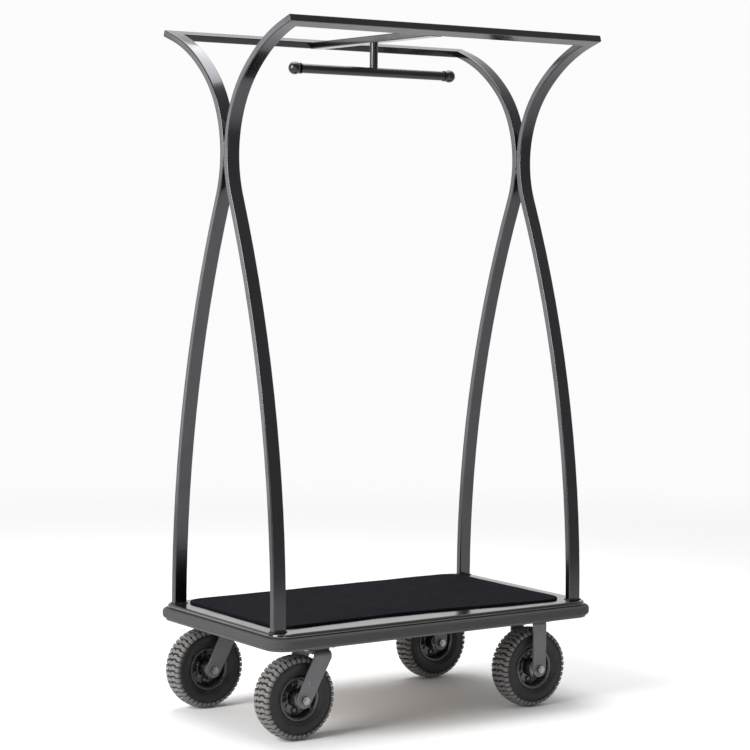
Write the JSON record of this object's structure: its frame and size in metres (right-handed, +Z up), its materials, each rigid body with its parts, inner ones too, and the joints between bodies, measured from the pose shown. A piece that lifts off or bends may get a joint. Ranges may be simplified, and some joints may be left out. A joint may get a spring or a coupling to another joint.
{
  "type": "hotel luggage cart",
  "caption": "Upright luggage cart with a carpeted deck on pneumatic casters, bent hourglass tube ends, a top frame and a garment bar.",
  "frame": {"origin": "on the floor under the centre of the deck", "axes": "+Z up, +X along the length towards the rigid casters, -Y towards the front long side"},
  "size_m": [1.05, 0.6458, 1.841],
  "materials": {
    "black_metal": "polished black titanium finish",
    "black_steel": "satin black powder coat",
    "caster_steel": "satin dark grey paint",
    "rim_steel": "semi-gloss black paint",
    "tyre": "moulded rubber",
    "bumper_vinyl": "satin vinyl",
    "gasket_rubber": "matte",
    "carpet": "short black pile",
    "plywood": "raw plywood",
    "zinc_steel": "bright zinc plate",
    "bearing_steel": "ground steel",
    "valve_brass": "brass"
  },
  "bodies": {
    "chassis": {"bumper": "bumper_vinyl", "carpet": "carpet", "caster_back_left_kingpin": "zinc_steel", "caster_back_left_plate": "caster_steel", "caster_back_right_axle": "zinc_steel", "caster_back_right_fork": "caster_steel", "caster_back_right_spacers": "zinc_steel", "caster_front_left_kingpin": "zinc_steel", "caster_front_left_plate": "caster_steel", "caster_front_right_axle": "zinc_steel", "caster_front_right_fork": "caster_steel", "caster_front_right_spacers": "zinc_steel", "caster_plate_bolts": "zinc_steel", "caster_plate_nuts": "zinc_steel", "cross_member_left": "black_steel", "cross_member_right": "black_steel", "crossbar": "black_metal", "deck_board": "plywood", "deck_frame": "black_metal", "hanger_ball_left": "black_metal", "hanger_ball_right": "black_metal", "hanger_bar": "black_metal", "hanger_stem": "black_metal", "top_rail_back": "black_metal", "top_rail_front": "black_metal", "upright_back_left": "black_metal", "upright_back_right": "black_metal", "upright_bolts": "zinc_steel", "upright_front_left": "black_metal", "upright_front_right": "black_metal", "upright_gaskets": "gasket_rubber", "upright_plugs": "zinc_steel", "waist_weld_left": "black_metal", "waist_weld_right": "black_metal"},
    "wheel_front_left": {"caster_front_left_bearings": "bearing_steel", "caster_front_left_rim": "rim_steel", "caster_front_left_rim_bolts": "zinc_steel", "caster_front_left_tyre": "tyre", "caster_front_left_valve": "valve_brass"},
    "swivel_front_left": {"caster_front_left_axle": "zinc_steel", "caster_front_left_fork": "caster_steel", "caster_front_left_spacers": "zinc_steel"},
    "wheel_back_left": {"caster_back_left_bearings": "bearing_steel", "caster_back_left_rim": "rim_steel", "caster_back_left_rim_bolts": "zinc_steel", "caster_back_left_tyre": "tyre", "caster_back_left_valve": "valve_brass"},
    "swivel_back_left": {"caster_back_left_axle": "zinc_steel", "caster_back_left_fork": "caster_steel", "caster_back_left_spacers": "zinc_steel"},
    "wheel_front_right": {"caster_front_right_bearings": "bearing_steel", "caster_front_right_rim": "rim_steel", "caster_front_right_rim_bolts": "zinc_steel", "caster_front_right_tyre": "tyre", "caster_front_right_valve": "valve_brass"},
    "wheel_back_right": {"caster_back_right_bearings": "bearing_steel", "caster_back_right_rim": "rim_steel", "caster_back_right_rim_bolts": "zinc_steel", "caster_back_right_tyre": "tyre", "caster_back_right_valve": "valve_brass"}
  },
  "joints": [
    {"name": "swivel_front_left_turn", "type": "hinge", "parent": "chassis", "child": "swivel_front_left", "pos_m": [-0.358, -0.229, 0.229], "axis": [0, 0, 1], "continuous": true},
    {"name": "wheel_front_left_spin", "type": "hinge", "parent": "swivel_front_left", "child": "wheel_front_left", "pos_m": [-0.416, -0.229, 0.109], "axis": [0, 1, 0], "continuous": true},
    {"name": "swivel_back_left_turn", "type": "hinge", "parent": "chassis", "child": "swivel_back_left", "pos_m": [-0.358, 0.229, 0.229], "axis": [0, 0, 1], "continuous": true},
    {"name": "wheel_back_left_spin", "type": "hinge", "parent": "swivel_back_left", "child": "wheel_back_left", "pos_m": [-0.416, 0.229, 0.109], "axis": [0, 1, 0], "continuous": true},
    {"name": "wheel_front_right_spin", "type": "hinge", "parent": "chassis", "child": "wheel_front_right", "pos_m": [0.346, -0.229, 0.109], "axis": [0, 1, 0], "continuous": true},
    {"name": "wheel_back_right_spin", "type": "hinge", "parent": "chassis", "child": "wheel_back_right", "pos_m": [0.346, 0.229, 0.109], "axis": [0, 1, 0], "continuous": true}
  ]
}
